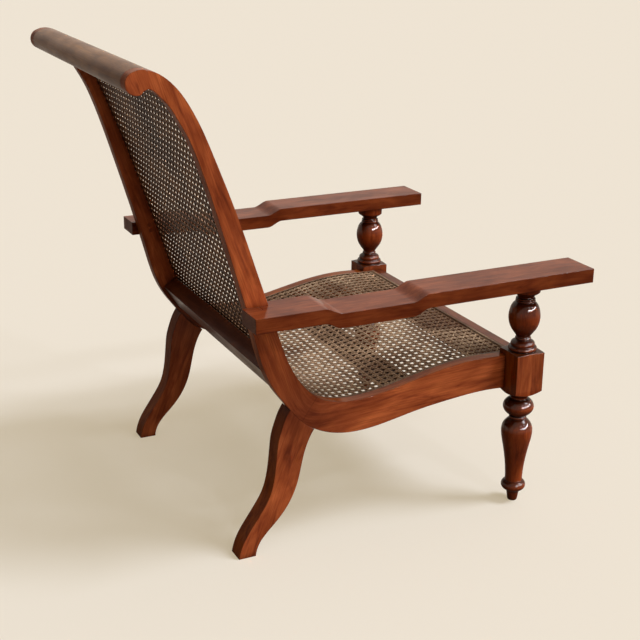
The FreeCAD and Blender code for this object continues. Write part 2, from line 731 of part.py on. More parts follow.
FRAME_MIDDLE = FRAME_OUTER - size("frame_thick") / 2
LEG_DOWEL_WAY = Vector(0, joint_rear.x - joint_front.x, joint_rear.y - joint_front.y)
LEG_DOWEL_PLACES = (-size("leg_dowel_rear"), size("leg_dowel_front"))
leg_dowels = []
crest_dowels = []
arm_screws = []
CREST_DOWEL_SHARE = 0.52
u_crest_dowel = along_from_roll(size("crest_reach") * CREST_DOWEL_SHARE)
CREST_DOWEL_PLACES = [
    ROLL_CENTRE,
    sitting_line.value(u_crest_dowel) + normal_at(sitting_line, u_crest_dowel) * (size("neck_depth") / 2),
]
SCREW_LEVEL_SHARES = (0.28, 0.72)
for side_name, side in SIDES.items():
    for number, distance in enumerate(LEG_DOWEL_PLACES):
        at = under_line.value(under_line.parameterAtDistance(distance, u_under_joint))
        middle = Vector(side * FRAME_MIDDLE, at.x, at.y)
        leg_dowels.append(dowel(f"{side_name}_leg_dowel_{number}", "Sizes.leg_dowel_dia",
                                "Sizes.leg_dowel_length", middle, LEG_DOWEL_WAY))
    for number, place in enumerate(CREST_DOWEL_PLACES):
        middle = Vector(side * FRAME_INNER, place.x, place.y)
        crest_dowels.append(dowel(f"{side_name}_crest_dowel_{number}", "Sizes.crest_dowel_dia",
                                  "Sizes.crest_dowel_length", middle, Vector(side, 0, 0)))
    for number, share in enumerate(SCREW_LEVEL_SHARES):
        level = ARM_UNDER + size("arm_thick") * share
        u = parameter_where(under_line, "y", level, UNDER_START, u_leg_rear)
        at = under_line.value(u) - normal_at(under_line, u) * (size("hip_depth") / 2)
        start = Vector(side * FRAME_INNER, at.x, at.y)
        shank = Part.makeCylinder(size("screw_dia") / 2, size("screw_length"), start, Vector(side, 0, 0))
        head = Part.makeCone(size("screw_head_dia") / 2, size("screw_dia") / 2, size("screw_head_depth"),
                             start, Vector(side, 0, 0))
        arm_screws.append(shank.fuse(head).removeSplitter())
subparts["leg_dowels"] = group("leg_dowels", leg_dowels)
subparts["crest_dowels"] = group("crest_dowels", crest_dowels)
screws = plain_feature("arm_screws", Part.makeCompound(arm_screws))
subparts["arm_screws"] = screws

# Mortises, holes and rebates: each piece is cut by what enters it
for side_name, side in SIDES.items():
    stile_name = side_name + "_back_stile"
    rail_name = side_name + "_seat_rail"
    front_name = side_name + "_front_leg"
    rear_name = side_name + "_rear_leg"
    arm_name = side_name + "_arm"
    stile = stile_bodies[side_name]
    rail = rail_bodies[side_name]
    subparts[stile_name] = cut(stile_name, stile, [rail, back_rail_body, bed, subparts["crest_dowels"],
                                                   subparts["leg_dowels"], screws])
    subparts[rail_name] = cut(rail_name, rail, [stretcher_body, bed, subparts["leg_dowels"]])
    subparts[front_name] = cut(front_name, front_legs[side_name], [rail, front_rail_body])
    subparts[rear_name] = cut(rear_name, rear_leg_bodies[side_name], [subparts["leg_dowels"]])
    notch = doc.addObject("Part::Box", arm_name + "_notch")
    notch.setExpression("Length", "Sizes.arm_width")
    notch.setExpression("Width", "Sizes.arm_width")
    notch.setExpression("Height", "2 * Sizes.arm_thick")
    if side < 0:
        notch.setExpression("Placement.Base.x", "-Sizes.frame_width / 2")
    else:
        notch.setExpression("Placement.Base.x", "Sizes.frame_width / 2 - Sizes.arm_width")
    notch.Placement.Base.y = STILE_REAR_AT_ARM - size("hip_depth") / 2
    notch.setExpression("Placement.Base.z", "Sizes.arm_top - 1.5 * Sizes.arm_thick")
    post_tenon = front_legs[side_name]
    subparts[arm_name] = cut(arm_name, arm_bodies[side_name], [stile, notch, post_tenon, screws])
subparts["crest_rail"] = cut("crest_rail", crest_body, [bed, subparts["crest_dowels"]])
subparts["front_rail"] = cut("front_rail", front_rail_body, [bed])

doc.recompute()

# Every object and every sub-part is sound before anything is written
for item in doc.Objects:
    for word in ("Invalid", "Error"):
        if word in item.State:
            raise RuntimeError(f"{item.Name} is {item.State}")
for label, item in subparts.items():
    shape = item.Shape
    if shape.isNull() or not shape.isValid() or not shape.Solids:
        raise RuntimeError(f"{label} has no sound shape")
for label, item in subparts.items():
    item.Shape.exportStep(os.path.join("parts", label + ".step"))
    box = item.Shape.BoundBox
    print(f"{label:20s} solids {len(item.Shape.Solids)} volume {item.Shape.Volume / 1000:9.1f} cm3 "
          f"x {box.XMin:7.1f} {box.XMax:7.1f} y {box.YMin:7.1f} {box.YMax:7.1f} z {box.ZMin:7.1f} {box.ZMax:7.1f}")
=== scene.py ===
import bpy
import math
import random

from mathutils import Matrix, Vector


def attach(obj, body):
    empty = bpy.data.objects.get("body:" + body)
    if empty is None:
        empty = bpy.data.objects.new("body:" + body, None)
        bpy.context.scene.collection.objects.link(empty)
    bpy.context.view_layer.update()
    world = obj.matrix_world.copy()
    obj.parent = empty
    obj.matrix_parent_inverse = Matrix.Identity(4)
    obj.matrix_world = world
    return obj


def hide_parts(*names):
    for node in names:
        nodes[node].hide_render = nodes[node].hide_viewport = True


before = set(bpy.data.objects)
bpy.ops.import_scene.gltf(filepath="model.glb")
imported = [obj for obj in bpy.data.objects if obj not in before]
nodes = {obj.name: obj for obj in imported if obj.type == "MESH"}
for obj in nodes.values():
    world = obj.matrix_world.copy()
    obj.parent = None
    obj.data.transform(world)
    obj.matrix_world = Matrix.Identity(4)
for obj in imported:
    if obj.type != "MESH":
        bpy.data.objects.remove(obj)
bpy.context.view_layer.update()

FULL = (1.0, 1.0, 1.0)
BLACK = (0.0, 0.0, 0.0)
UPWARD = Vector((0, 0, 1))
CROSSWISE = Vector((1, 0, 0))
DEPTHWISE = Vector((0, 1, 0))

# Camera, at the photograph's viewing angle. All angles are in degrees.
CAMERA_PLACE = Vector((-2.2986, 1.0763, 1.2634))
CAMERA_AZIMUTH = 243.966
CAMERA_ELEVATION = 19.751
CAMERA_ROLL = 0.554
CAMERA_LENS = 69.31
SENSOR_WIDTH = 36.0

# Lamps. The strip lamp is a long low band of the sky that only the lacquer shows.
KEY_AZIMUTH = 244
KEY_ELEVATION = 50
KEY_ANGLE = 20
KEY_STRENGTH = 2.25
LAMP_COLOUR = (1.0, 1.02, 1.06)
SMALL_LAMPS = [(187, 44), (220, 38)]
SMALL_ANGLE = 4
SMALL_STRENGTH = 0.2
STRIP_AZIMUTH = 215
STRIP_REACH = 48
STRIP_LOW = 21
STRIP_HIGH = 24
STRIP_SOFTNESS = 0.25
STRIP_STRENGTH = 110

# Sky, backdrop and floor. The floor shows one colour and bounces another.
SKY_STRENGTH = 0.43
SKY_COLOUR = (1.0, 0.866, 0.69)
SKY_TILT = 0.88
BACKDROP_COLOUR = (0.873, 0.795, 0.692)
FLOOR_COLOUR = (0.81, 0.81, 0.83)
FLOOR_BOUNCE = (0.18, 0.165, 0.14)
FLOOR_GLOW = 0.48
GLOW_COLOUR = (0.86, 0.72, 0.49)
FLOOR_SIZE = 60.0

# Mahogany: the streaks' colours, and the tones that multiply them, by where a value falls
LIGHT = (0.60, 0.152, 0.047)
MIDDLE = (0.43, 0.094, 0.030)
DARK = (0.26, 0.053, 0.019)
STREAK_STOPS = (0.30, 0.46, 0.70)
CLOUD_TONES = [(0.30, (0.62, 0.54, 0.50)), (0.62, (1.12, 1.15, 1.15))]
FIBRE_TONES = [(0.30, (0.82, 0.78, 0.75)), (0.62, (1.05, 1.05, 1.05))]
PORE_TONES = [(0.34, (0.45, 0.40, 0.38)), (0.42, FULL)]
PORE_DEPTH = 0.4
EDGE_TONES = [(0.80, (0.5, 0.45, 0.45)), (0.985, FULL)]
# Painted shade with old dark polish in the joints and recesses, from the ambient occlusion
RECESS_POLISH_AND_SHADE = [(0.25, (0.22, 0.18, 0.18)), (0.85, FULL)]
RECESS_SAMPLES = 8
RECESS_REACH = 0.022
TURNED_REACH = 0.045
ARRIS = 0.0022
WOOD_BUMP = (0.1, 0.0004)

# Noises: scale, detail, distortion and roughness. The wood's are also scaled along the grain.
STREAKS = (62, 6, 1.0, 0.6)
FIBRES = (420, 3, 0.0, 0.6)
CLOUDS = (22, 4, 0.5, 0.5)
PORES = (900, 2, 0.0, 0.5)
MOTTLE = (300, 4, 0.0, 0.5)
STREAK_STRETCH = 0.17
FIBRE_STRETCH = 0.03
CLOUD_STRETCH = 0.5
PORE_STRETCH = 0.02

# Painted shade, and darker end grain, by the way a face looks: an axis, the tone beside it and the
# tone of faces that meet it
FACE_TURN = (0.35, 0.75)
# Painted shade on the side frames' faces that don't look sideways, such as their backs and tops
SHADED_RIM = (0.64, 0.62, 0.28)
# Darker end grain, partly painted shade on the ends of the arms
END_GRAIN_AND_SHADE = (0.60, 0.72, 0.70)
FRAME_FACES = ("X", SHADED_RIM, FULL)
ARM_FACES = ("Y", FULL, END_GRAIN_AND_SHADE)
CROSS_FACES = ("X", FULL, END_GRAIN_AND_SHADE)
# Painted shade on the turnings' faces that look up
SHOULDER_SHADE = (0.36, 0.34, 0.36)
SHOULDER_TURN = (0.08, 0.6)

# Lacquer: the coat on upright faces and on those that look up, the gloss under it, and the share
# of the coat that is left on the faces that look to the back or the front
FRAME_LACQUER = (0.07, 0.38, 0.01, 0.3)
ARM_LACQUER = (0.02, 0.42, 0.022, 0.3)
TURNED_LACQUER = (0.06, 0.5, 0.01, 1.0)
CREST_LACQUER = (0.05, 0.3, 0.04, 1.0)
FRONT_LACQUER = (0.07, 0.38, 0.04, 1.0)
RAIL_LACQUER = (0.05, 0.1, 0.04, 1.0)
FLAT_RISE = (0.3, 0.8)
TURNED_RISE = (0.02, 0.22)
COAT_ROUGHNESS = 0.08
ROUGHNESS_STOPS = [(0.3, 0.46), (0.7, 0.34)]

# Each piece's own tint; some stand partly or wholly for painted shade or sheen, as marked
# The left frame and rear leg are a darker copy of the right's wood, as painted shade
SIDE_SHADES = (("right", 1.0), ("left", 0.78))
LEG_TONE = 0.97
LEG_GRAIN = Vector((0, 0.35, -0.94))
# The arms' tint: their own colour, partly painted sheen that greys the tops
ARM_TINT_AND_SHEEN = (0.44, 0.395, 0.36)
TURNED_TONE = 0.74
# The crest's tint: its own colour, partly painted sheen that greys the roll
CREST_TINT_AND_SHEEN = (0.38, 0.58, 0.28)
# The lower back rail and the stretcher are darkened as painted shade, under the back and under the
# seat
LOWER_RAIL_SHADE = 0.22
STRETCHER_SHADE = 0.12
FRONT_RAIL_TONE = 0.36
BEECH = (0.55, 0.38, 0.22)
BEECH_ROUGHNESS = 0.6
STEEL = (0.21, 0.042, 0.014)
STEEL_ROUGHNESS = 0.5
PLAIN_SHADE = 0.8
PLAIN_STOPS = (0.3, 0.7)
PLAIN_SPECULAR = 0.04

# Turned legs: the square block, and the darker stain above and below it
BLOCK_LOW = 0.260
BLOCK_HIGH = 0.345
BLOCK_BLEND = 0.006
TURNING_TONE = (0.80, 0.64, 0.50)

# Side frames: planes along the back and the seat that the grain follows, and the painted shade
# round the heel, under the back
BACK_POINT = Vector((0, 0.240, 0.582))
BACK_NORMAL = Vector((0, -0.944, 0.331))
SEAT_POINT = Vector((0, 0.045, 0.296))
SEAT_NORMAL = Vector((0, 0.050, 0.999))
HEEL_ROUNDING = 0.08
HEEL_POINT = Vector((0, 0.15, 0.29))
HEEL_CORE = 0.02
HEEL_REACH = 0.15
HEEL_SHADE = (0.56, 0.54, 0.60)

# Cane colours
PATCHES = (6, 4, 0.6, 0.5)
PATCH_TONES = [(0.36, (0.19, 0.105, 0.06)), (0.66, (0.55, 0.405, 0.275))]
FLECKS = (260, 3, 0.0, 0.5)
FLECK_TONES = [(0.32, (0.45, 0.39, 0.36)), (0.60, (1.12, 1.1, 1.08))]
STRAND_TONES = [(0.0, (0.55, 0.50, 0.47)), (1.0, (1.2, 1.2, 1.2))]
# Painted shade, in patches, on the strands' flat backs
BACK_SHADE_NOISE = (13, 5, 1.4, 0.65)
BACK_SHADE_TONES = [(0.40, (0.19, 0.085, 0.034)), (0.62, (0.46, 0.28, 0.16))]
CANE_BUMP = (0.2, 0.0002)
CANE_ROUGHNESS = 0.42
CANE_SPECULAR = 0.08

# Weave
CELL_ACROSS = 0.0172
CELL_ALONG = 0.0149
STRAND_WIDTH = 0.0037
STRAND_THICK = 0.0014
STRAND_SECTION = [(-0.5, -0.5), (-0.3, 0.35), (0.3, 0.35), (0.5, -0.5)]
PAIR_HALF = 0.0019
LENGTHWISE_LIFT = 0.0003
LATERAL_LIFT = 0.0003
DIAGONAL_LIFT = 0.0013
STEPS_PER_CELL = 4
CANE_EDGE = 0.0005
CANE_SEED = 7
MIDLINE_STEPS = 260
END_MARGIN = 0.001
SAME_PLACE = 1e-5
PLACE_DIGITS = 6


def screen_axes():
    """The camera's right, up and back directions, from its azimuth, elevation and roll."""
    angles = (CAMERA_AZIMUTH, CAMERA_ELEVATION, CAMERA_ROLL)
    azimuth, elevation, roll = (math.radians(angle) for angle in angles)
    right = Vector((math.cos(azimuth), math.sin(azimuth), 0))
    back = Vector((math.sin(azimuth) * math.cos(elevation),
                   -math.cos(azimuth) * math.cos(elevation), math.sin(elevation)))
    up = back.cross(right)
    turned_right = right * math.cos(roll) + up * math.sin(roll)
    turned_up = up * math.cos(roll) - right * math.sin(roll)
    return turned_right, turned_up, back


def make_camera():
    """The scene's camera, where the photograph was taken from."""
    data = bpy.data.cameras.new("camera")
    data.lens = CAMERA_LENS
    data.sensor_width = SENSOR_WIDTH
    camera = bpy.data.objects.new("camera", data)
    bpy.context.collection.objects.link(camera)
    turn = Matrix(screen_axes()).transposed().to_4x4()
    camera.matrix_world = Matrix.Translation(CAMERA_PLACE) @ turn
    bpy.context.scene.camera = camera


def grey(value):
    """A colour with no hue."""
    return (value,) * 3


def add(tree, kind, inputs=(), **settings):
    """A new shader node. Each input named is given an output to link, or a value to hold."""
    node = tree.nodes.new("ShaderNode" + kind)
    for name, value in settings.items():
        setattr(node, name, value)
    for name, value in dict(inputs).items():
        if isinstance(value, bpy.types.NodeSocket):
            tree.links.new(value, node.inputs[name])
        else:
            node.inputs[name].default_value = value
    return node


def dot(tree, place, direction):
    """How far a place reaches along a direction."""
    product = add(tree, "VectorMath", {0: place, 1: direction}, operation="DOT_PRODUCT")
    return product.outputs["Value"]


def part(tree, vector, axis):
    """One of a vector's X, Y and Z."""
    return add(tree, "SeparateXYZ", {"Vector": vector}).outputs[axis]


def object_place(tree):
    """The object's own coordinates."""
    return add(tree, "TexCoord").outputs["Object"]


def ramp(tree, value, stops):
    """A colour for each value, over stops of (position, colour) in rising order."""
    node = add(tree, "ValToRGB", {"Fac": value})
    band = node.color_ramp
    for index, (position, colour) in enumerate([stops[0], stops[-1], *stops[1:-1]]):
        stop = band.elements[index] if index < 2 else band.elements.new(position)
        stop.position = position
        stop.color = (*colour, 1)
    return node.outputs["Color"]


def mix(tree, factor, first, second, mode="MIX"):
    """Two colours mixed by a factor."""
    inputs = {"Factor": factor, "A": first, "B": second}
    return add(tree, "Mix", inputs, data_type="RGBA", blend_type=mode).outputs["Result"]


def multiply(tree, colour, shades, factor=1.0):
    """A colour multiplied by each of some shades, in full or by a part."""
    for shade in shades:
        colour = mix(tree, factor, colour, shade, "MULTIPLY")
    return colour


def mix_shaders(tree, factor, first, second):
    """Two shaders mixed by a factor."""
    return add(tree, "MixShader", {0: factor, 1: first.outputs[0], 2: second.outputs[0]})


def seen_directly(tree):
    """1 where the camera, a gloss or a glass looks at a surface, 0 for the light it sends on."""
    path = add(tree, "LightPath").outputs
    seen = path["Is Camera Ray"]
    for kind in ("Is Glossy Ray", "Is Transmission Ray"):
        seen = add(tree, "Math", {0: seen, 1: path[kind]}, operation="MAXIMUM").outputs[0]
    return seen


def level(azimuth):
    """The level direction from the chair towards an azimuth."""
    return Vector((math.cos(math.radians(azimuth)), math.sin(math.radians(azimuth)), 0))


def strip_lamp(tree, place):
    """1 on the low band of the sky where the strip lamp hangs, for glossy rays, and 0 elsewhere."""
    low, high = (math.sin(math.radians(angle)) for angle in (STRIP_LOW, STRIP_HIGH))
    soft = (high - low) * STRIP_SOFTNESS
    edge = math.cos(math.radians(STRIP_REACH))
    heights = ramp(tree, part(tree, place, "Z"),
                   [(low - soft, BLACK), (low, FULL), (high, FULL), (high + soft, BLACK)])
    sides = ramp(tree, dot(tree, place, level(STRIP_AZIMUTH)), [(edge, BLACK), (edge + soft, FULL)])
    return multiply(tree, heights, [sides, add(tree, "LightPath").outputs["Is Glossy Ray"]])


def background(tree, colour, strength):
    """A shader for the world in one colour."""
    return add(tree, "Background", {"Color": (*colour, 1), "Strength": strength})


def make_world():
    """A soft sky, brighter on the key light's side, and the backdrop's colour where it is seen."""
    world = bpy.data.worlds.new("studio")
    bpy.context.scene.world = world
    world.use_nodes = True
    tree = world.node_tree
    tree.nodes.clear()
    place = add(tree, "TexCoord").outputs["Generated"]
    towards = dot(tree, place, level(KEY_AZIMUTH) * SKY_TILT)
    strength = add(tree, "Math", {0: towards, 1: SKY_STRENGTH, 2: SKY_STRENGTH},
                   operation="MULTIPLY_ADD")
    sky = background(tree, SKY_COLOUR, strength.outputs[0])
    backdrop = background(tree, BACKDROP_COLOUR, 1.0)
    lamp = background(tree, FULL, STRIP_STRENGTH)
    studio = mix_shaders(tree, seen_directly(tree), sky, backdrop)
    lit = mix_shaders(tree, strip_lamp(tree, place), studio, lamp)
    add(tree, "OutputWorld", {"Surface": lit.outputs[0]})


def make_sun(name, strength, angle, azimuth, elevation):
    """A lamp far off in one direction, which spans an angle of the sky."""
    data = bpy.data.lights.new(name, "SUN")
    data.energy = strength
    data.color = LAMP_COLOUR
    data.angle = math.radians(angle)
    lamp = bpy.data.objects.new(name, data)
    bpy.context.collection.objects.link(lamp)
    rise = math.radians(elevation)
    towards = level(azimuth) * math.cos(rise) + UPWARD * math.sin(rise)
    lamp.rotation_mode = "QUATERNION"
    lamp.rotation_quaternion = towards.to_track_quat("Z", "Y")


def make_floor():
    """A wide pale floor. Seen directly it glows a little, which keeps its shadows light."""
    half = FLOOR_SIZE / 2
    corners = [(-half, -half, 0), (half, -half, 0), (half, half, 0), (-half, half, 0)]
    mesh = bpy.data.meshes.new("floor")
    mesh.from_pydata(corners, [], [(0, 1, 2, 3)])
    floor = bpy.data.objects.new("floor", mesh)
    bpy.context.collection.objects.link(floor)
    material = bpy.data.materials.new("floor")
    material.use_nodes = True
    tree = material.node_tree
    tree.nodes.clear()
    seen = seen_directly(tree)
    colour = mix(tree, seen, (*FLOOR_BOUNCE, 1), (*FLOOR_COLOUR, 1))
    matt = add(tree, "BsdfDiffuse", {"Color": colour})
    glow = add(tree, "Emission", {"Color": (*GLOW_COLOUR, 1)})
    share = add(tree, "Math", {0: seen, 1: FLOOR_GLOW}, operation="MULTIPLY").outputs[0]
    add(tree, "OutputMaterial", {"Surface": mix_shaders(tree, share, matt, glow).outputs[0]})
    mesh.materials.append(material)


def new_material(name):
    """A new material, its node tree and its shader."""
    material = bpy.data.materials.new(name)
    material.use_nodes = True
    tree = material.node_tree
    return material, tree, tree.nodes["Principled BSDF"]


def straight_grain(tree, along):
    """The object's coordinates, turned so that a direction lies along Z."""
    turn = along.rotation_difference(UPWARD).to_euler()
    inputs = {"Vector": object_place(tree), "Rotation": turn}
    return add(tree, "Mapping", inputs).outputs["Vector"]


def height_over(tree, place, point, normal):
    """How far a place lies from the plane through a point, on its normal's side."""
    inputs = {0: dot(tree, place, normal), 1: normal.dot(point)}
    return add(tree, "Math", inputs, operation="SUBTRACT").outputs[0]


def frame_grain(tree):
    """Coordinates that bend with the side frame: X, depth below its upper edge, way along it."""
    place = object_place(tree)
    back = height_over(tree, place, BACK_POINT, BACK_NORMAL)
    seat = height_over(tree, place, SEAT_POINT, SEAT_NORMAL)
    depth = add(tree, "Math", {0: back, 1: seat, 2: HEEL_ROUNDING}, operation="SMOOTH_MIN")
    along = dot(tree, place, (SEAT_NORMAL - BACK_NORMAL).normalized())
    inputs = {"X": part(tree, place, "X"), "Y": depth.outputs[0], "Z": along}
    return add(tree, "CombineXYZ", inputs).outputs["Vector"]


def noise(tree, place, kind, stretch=1.0):
    """One of the noises, its coordinates' Z scaled so that it is drawn out along the grain."""
    if stretch != 1.0:
        place = add(tree, "Mapping", {"Vector": place, "Scale": (1, 1, stretch)}).outputs["Vector"]
    inputs = dict(zip(("Scale", "Detail", "Distortion", "Roughness"), kind))
    return add(tree, "TexNoise", {"Vector": place, **inputs}).outputs["Fac"]


def turning_tone(tree):
    """Full colour on a front leg's square block, and a darker stain on the turning beyond it."""
    stops = [(BLOCK_LOW, TURNING_TONE), (BLOCK_LOW + BLOCK_BLEND, FULL),
             (BLOCK_HIGH, FULL), (BLOCK_HIGH + BLOCK_BLEND, TURNING_TONE)]
    return ramp(tree, part(tree, object_place(tree), "Z"), stops)


def heel_shade(tree):
    """Full colour over most of the side frame, and painted shade round the heel."""
    inputs = {0: object_place(tree), 1: DEPTHWISE + UPWARD}
    flat = add(tree, "VectorMath", inputs, operation="MULTIPLY").outputs["Vector"]
    away = add(tree, "VectorMath", {0: flat, 1: HEEL_POINT}, operation="DISTANCE").outputs["Value"]
    return ramp(tree, away, [(HEEL_CORE, HEEL_SHADE), (HEEL_REACH, FULL)])


def recess_polish_and_shade(tree, reach):
    """Full colour in the open, and painted shade with old dark polish in the joints and recesses.
    """
    shelter = add(tree, "AmbientOcclusion", {"Distance": reach}, samples=RECESS_SAMPLES)
    return ramp(tree, shelter.outputs["AO"], RECESS_POLISH_AND_SHADE)


def edge_tone(tree, normal):
    """Full colour on the faces, and a darker tone along the arrises."""
    true_normal = add(tree, "NewGeometry").outputs["Normal"]
    return ramp(tree, dot(tree, normal, true_normal), EDGE_TONES)


def face_tone(tree, normal, axis, beside, across, turn=FACE_TURN):
    """One tone on the faces that lie beside an axis, another on those that it meets squarely."""
    squareness = add(tree, "Math", {0: part(tree, normal, axis)}, operation="ABSOLUTE").outputs[0]
    return ramp(tree, squareness, [(turn[0], beside), (turn[1], across)])


def coat_weight(tree, normal, upright, upward, rear, rise):
    """The coat's weight, by the way a face looks."""
    stops = [(rise[0], grey(upright)), (rise[1], grey(upward))]
    weight = ramp(tree, part(tree, normal, "Z"), stops)
    return multiply(tree, weight, [face_tone(tree, normal, "Y", FULL, grey(rear))])


def set_bump(tree, shader, height, depths, normal=None):
    """Bump from a height. depths are the bump's strength and distance."""
    inputs = {"Strength": depths[0], "Distance": depths[1], "Height": height}
    if normal is not None:
        inputs["Normal"] = normal
    bump = add(tree, "Bump", inputs)
    tree.links.new(bump.outputs["Normal"], shader.inputs["Normal"])


def wood(name, along, tint, lacquer=FRAME_LACQUER, faces=FRAME_FACES, turned=False):
    """Lacquered mahogany, its grain along a direction, or along the side frame where it is None."""
    upright, upward, specular, rear = lacquer
    reach, rise = (TURNED_REACH, TURNED_RISE) if turned else (RECESS_REACH, FLAT_RISE)
    material, tree, shader = new_material(name)
    grain = frame_grain(tree) if along is None else straight_grain(tree, along.normalized())
    streak = noise(tree, grain, STREAKS, STREAK_STRETCH)
    fibre = noise(tree, grain, FIBRES, FIBRE_STRETCH)
    cloud = noise(tree, grain, CLOUDS, CLOUD_STRETCH)
    pore = noise(tree, grain, PORES, PORE_STRETCH)
    normal = add(tree, "Bevel", {"Radius": ARRIS}).outputs["Normal"]

    tinted = [tuple(a * b for a, b in zip(tint, colour)) for colour in (DARK, MIDDLE, LIGHT)]
    colour = ramp(tree, streak, list(zip(STREAK_STOPS, tinted)))
    colour = multiply(tree, colour, [ramp(tree, pore, PORE_TONES)], PORE_DEPTH)
    # Cloud and fibre are the grain; the face, recess and heel tones are painted shade, the recess
    # one also old polish and the face one also end grain
    shades = [ramp(tree, cloud, CLOUD_TONES), ramp(tree, fibre, FIBRE_TONES),
              edge_tone(tree, normal), face_tone(tree, normal, *faces),
              recess_polish_and_shade(tree, reach), heel_shade(tree)]
    if turned:
        shades.append(turning_tone(tree))
        # Painted shade on the turned faces that look up
        shades.append(face_tone(tree, normal, "Z", FULL, SHOULDER_SHADE, SHOULDER_TURN))
    tree.links.new(multiply(tree, colour, shades), shader.inputs["Base Color"])

    roughness = ramp(tree, cloud, [(position, grey(value)) for position, value in ROUGHNESS_STOPS])
    tree.links.new(roughness, shader.inputs["Roughness"])
    shader.inputs["Specular IOR Level"].default_value = specular
    coat = coat_weight(tree, normal, upright, upward, rear, rise)
    tree.links.new(coat, shader.inputs["Coat Weight"])
    tree.links.new(normal, shader.inputs["Coat Normal"])
    shader.inputs["Coat Roughness"].default_value = COAT_ROUGHNESS
    set_bump(tree, shader, fibre, WOOD_BUMP, normal)
    return material


def plain(name, colour, roughness):
    """A hidden part's finish: one hue with a faint mottle."""
    material, tree, shader = new_material(name)
    mottle = noise(tree, straight_grain(tree, UPWARD), MOTTLE)
    tones = (tuple(PLAIN_SHADE * share for share in colour), colour)
    tree.links.new(ramp(tree, mottle, list(zip(PLAIN_STOPS, tones))), shader.inputs["Base Color"])
    shader.inputs["Roughness"].default_value = roughness
    shader.inputs["Specular IOR Level"].default_value = PLAIN_SPECULAR
    return material


def cane_material():
    """Aged cane: straw to grey-brown in patches, each strand in its tone, with painted shade on the
    strands' backs.
    """
    material, tree, shader = new_material("cane")
    grain = straight_grain(tree, UPWARD)
    fleck = noise(tree, grain, FLECKS)
    strand = add(tree, "Attribute", attribute_name="tone").outputs["Fac"]
    reverse = add(tree, "Attribute", attribute_name="reverse").outputs["Fac"]
    colour = ramp(tree, noise(tree, grain, PATCHES), PATCH_TONES)
    shades = [ramp(tree, fleck, FLECK_TONES), ramp(tree, strand, STRAND_TONES)]
    colour = multiply(tree, colour, shades)
    # Painted shade, in patches, on the strands' flat backs that face away from the sitter
    shaded_back = multiply(tree, colour, [ramp(tree, noise(tree, grain, BACK_SHADE_NOISE), BACK_SHADE_TONES)])
    tree.links.new(mix(tree, reverse, colour, shaded_back), shader.inputs["Base Color"])
    shader.inputs["Roughness"].default_value = CANE_ROUGHNESS
    shader.inputs["Specular IOR Level"].default_value = CANE_SPECULAR
    set_bump(tree, shader, fleck, CANE_BUMP)
    return material


def paint(node, material):
    """Gives a CAD node's object one material in each of its slots."""
    piece = nodes[node]
    if not piece.material_slots:
        piece.data.materials.append(material)
    for slot in piece.material_slots:
        slot.material = material


def evenly(points, count):
    """Points at even steps of arc length along a chain of points."""
    reach = [0.0]
    for first, second in zip(points, points[1:]):
        reach.append(reach[-1] + (second - first).length)
    result, leg = [], 0
    for step in range(count):
        wanted = reach[-1] * step / (count - 1)
        while leg < len(points) - 2 and reach[leg + 1] < wanted:
            leg += 1
        share = (wanted - reach[leg]) / (reach[leg + 1] - reach[leg])
        result.append(points[leg].lerp(points[leg + 1], share))
    return result


def least_x(mesh):
    """Where a mesh ends on the sitter's right."""
    return min(vertex.co.x for vertex in mesh.vertices)


def side_outline(node):
    """The outline of a node's right side, as a loop of points in Y and Z."""
    mesh = nodes[node].data
    limit = least_x(mesh) + SAME_PLACE
    edges = set()
    for face in mesh.polygons:
        corners = [mesh.vertices[index].co for index in face.vertices]
        if all(corner.x < limit for corner in corners):
            keys = [(round(corner.y, PLACE_DIGITS), round(corner.z, PLACE_DIGITS))
                    for corner in corners]
            edges.update(zip(keys, keys[1:] + keys[:1]))
    onward = {first: second for first, second in edges if (second, first) not in edges}
    start = min(onward)
    loop = [start]
    while onward[loop[-1]] != start:
        loop.append(onward[loop[-1]])
    return [Vector((0, y, z)) for y, z in loop]


def panel_midline():
    """The cane sheet's middle line from the front rail to the crest, normals to the sitter."""
    loop = side_outline("cane_panel")
    count = len(loop)
    middles = [(loop[index] + loop[(index + 1) % count]) / 2 for index in range(count)]
    front = min(range(count), key=lambda index: middles[index].y)
    top = max(range(count), key=lambda index: middles[index].z)
    turned = loop[front + 1:] + loop[:front + 1]
    split = (top - front) % count
    one, other = (evenly(edge, MIDLINE_STEPS) for edge in (turned[:split], turned[split:][::-1]))
    line = evenly([first.lerp(second, 0.5) for first, second in zip(one, other)], MIDLINE_STEPS)
    normals = []
    for index in range(MIDLINE_STEPS):
        along = line[min(index + 1, MIDLINE_STEPS - 1)] - line[max(index - 1, 0)]
        normals.append(Vector((0, -along.z, along.y)).normalized())
    return line, normals


class Sheet:
    """The curved sheet that the cane is woven on: across is X, along runs from front to crest."""

    def __init__(self):
        self.line, self.normals = panel_midline()
        self.step = (self.line[1] - self.line[0]).length
        self.length = self.step * (len(self.line) - 1)
        self.half_width = -least_x(nodes["cane_panel"].data)

    def place(self, across, along, lift):
        """A point over the sheet, and the sheet's normal there."""
        whole = min(max(along / self.step, 0), len(self.line) - 1 - END_MARGIN)
        index = int(whole)
        share = whole - index
        point = self.line[index].lerp(self.line[index + 1], share)
        normal = self.normals[index].lerp(self.normals[index + 1], share).normalized()
        return Vector((across, point.y, point.z)) + normal * lift, normal


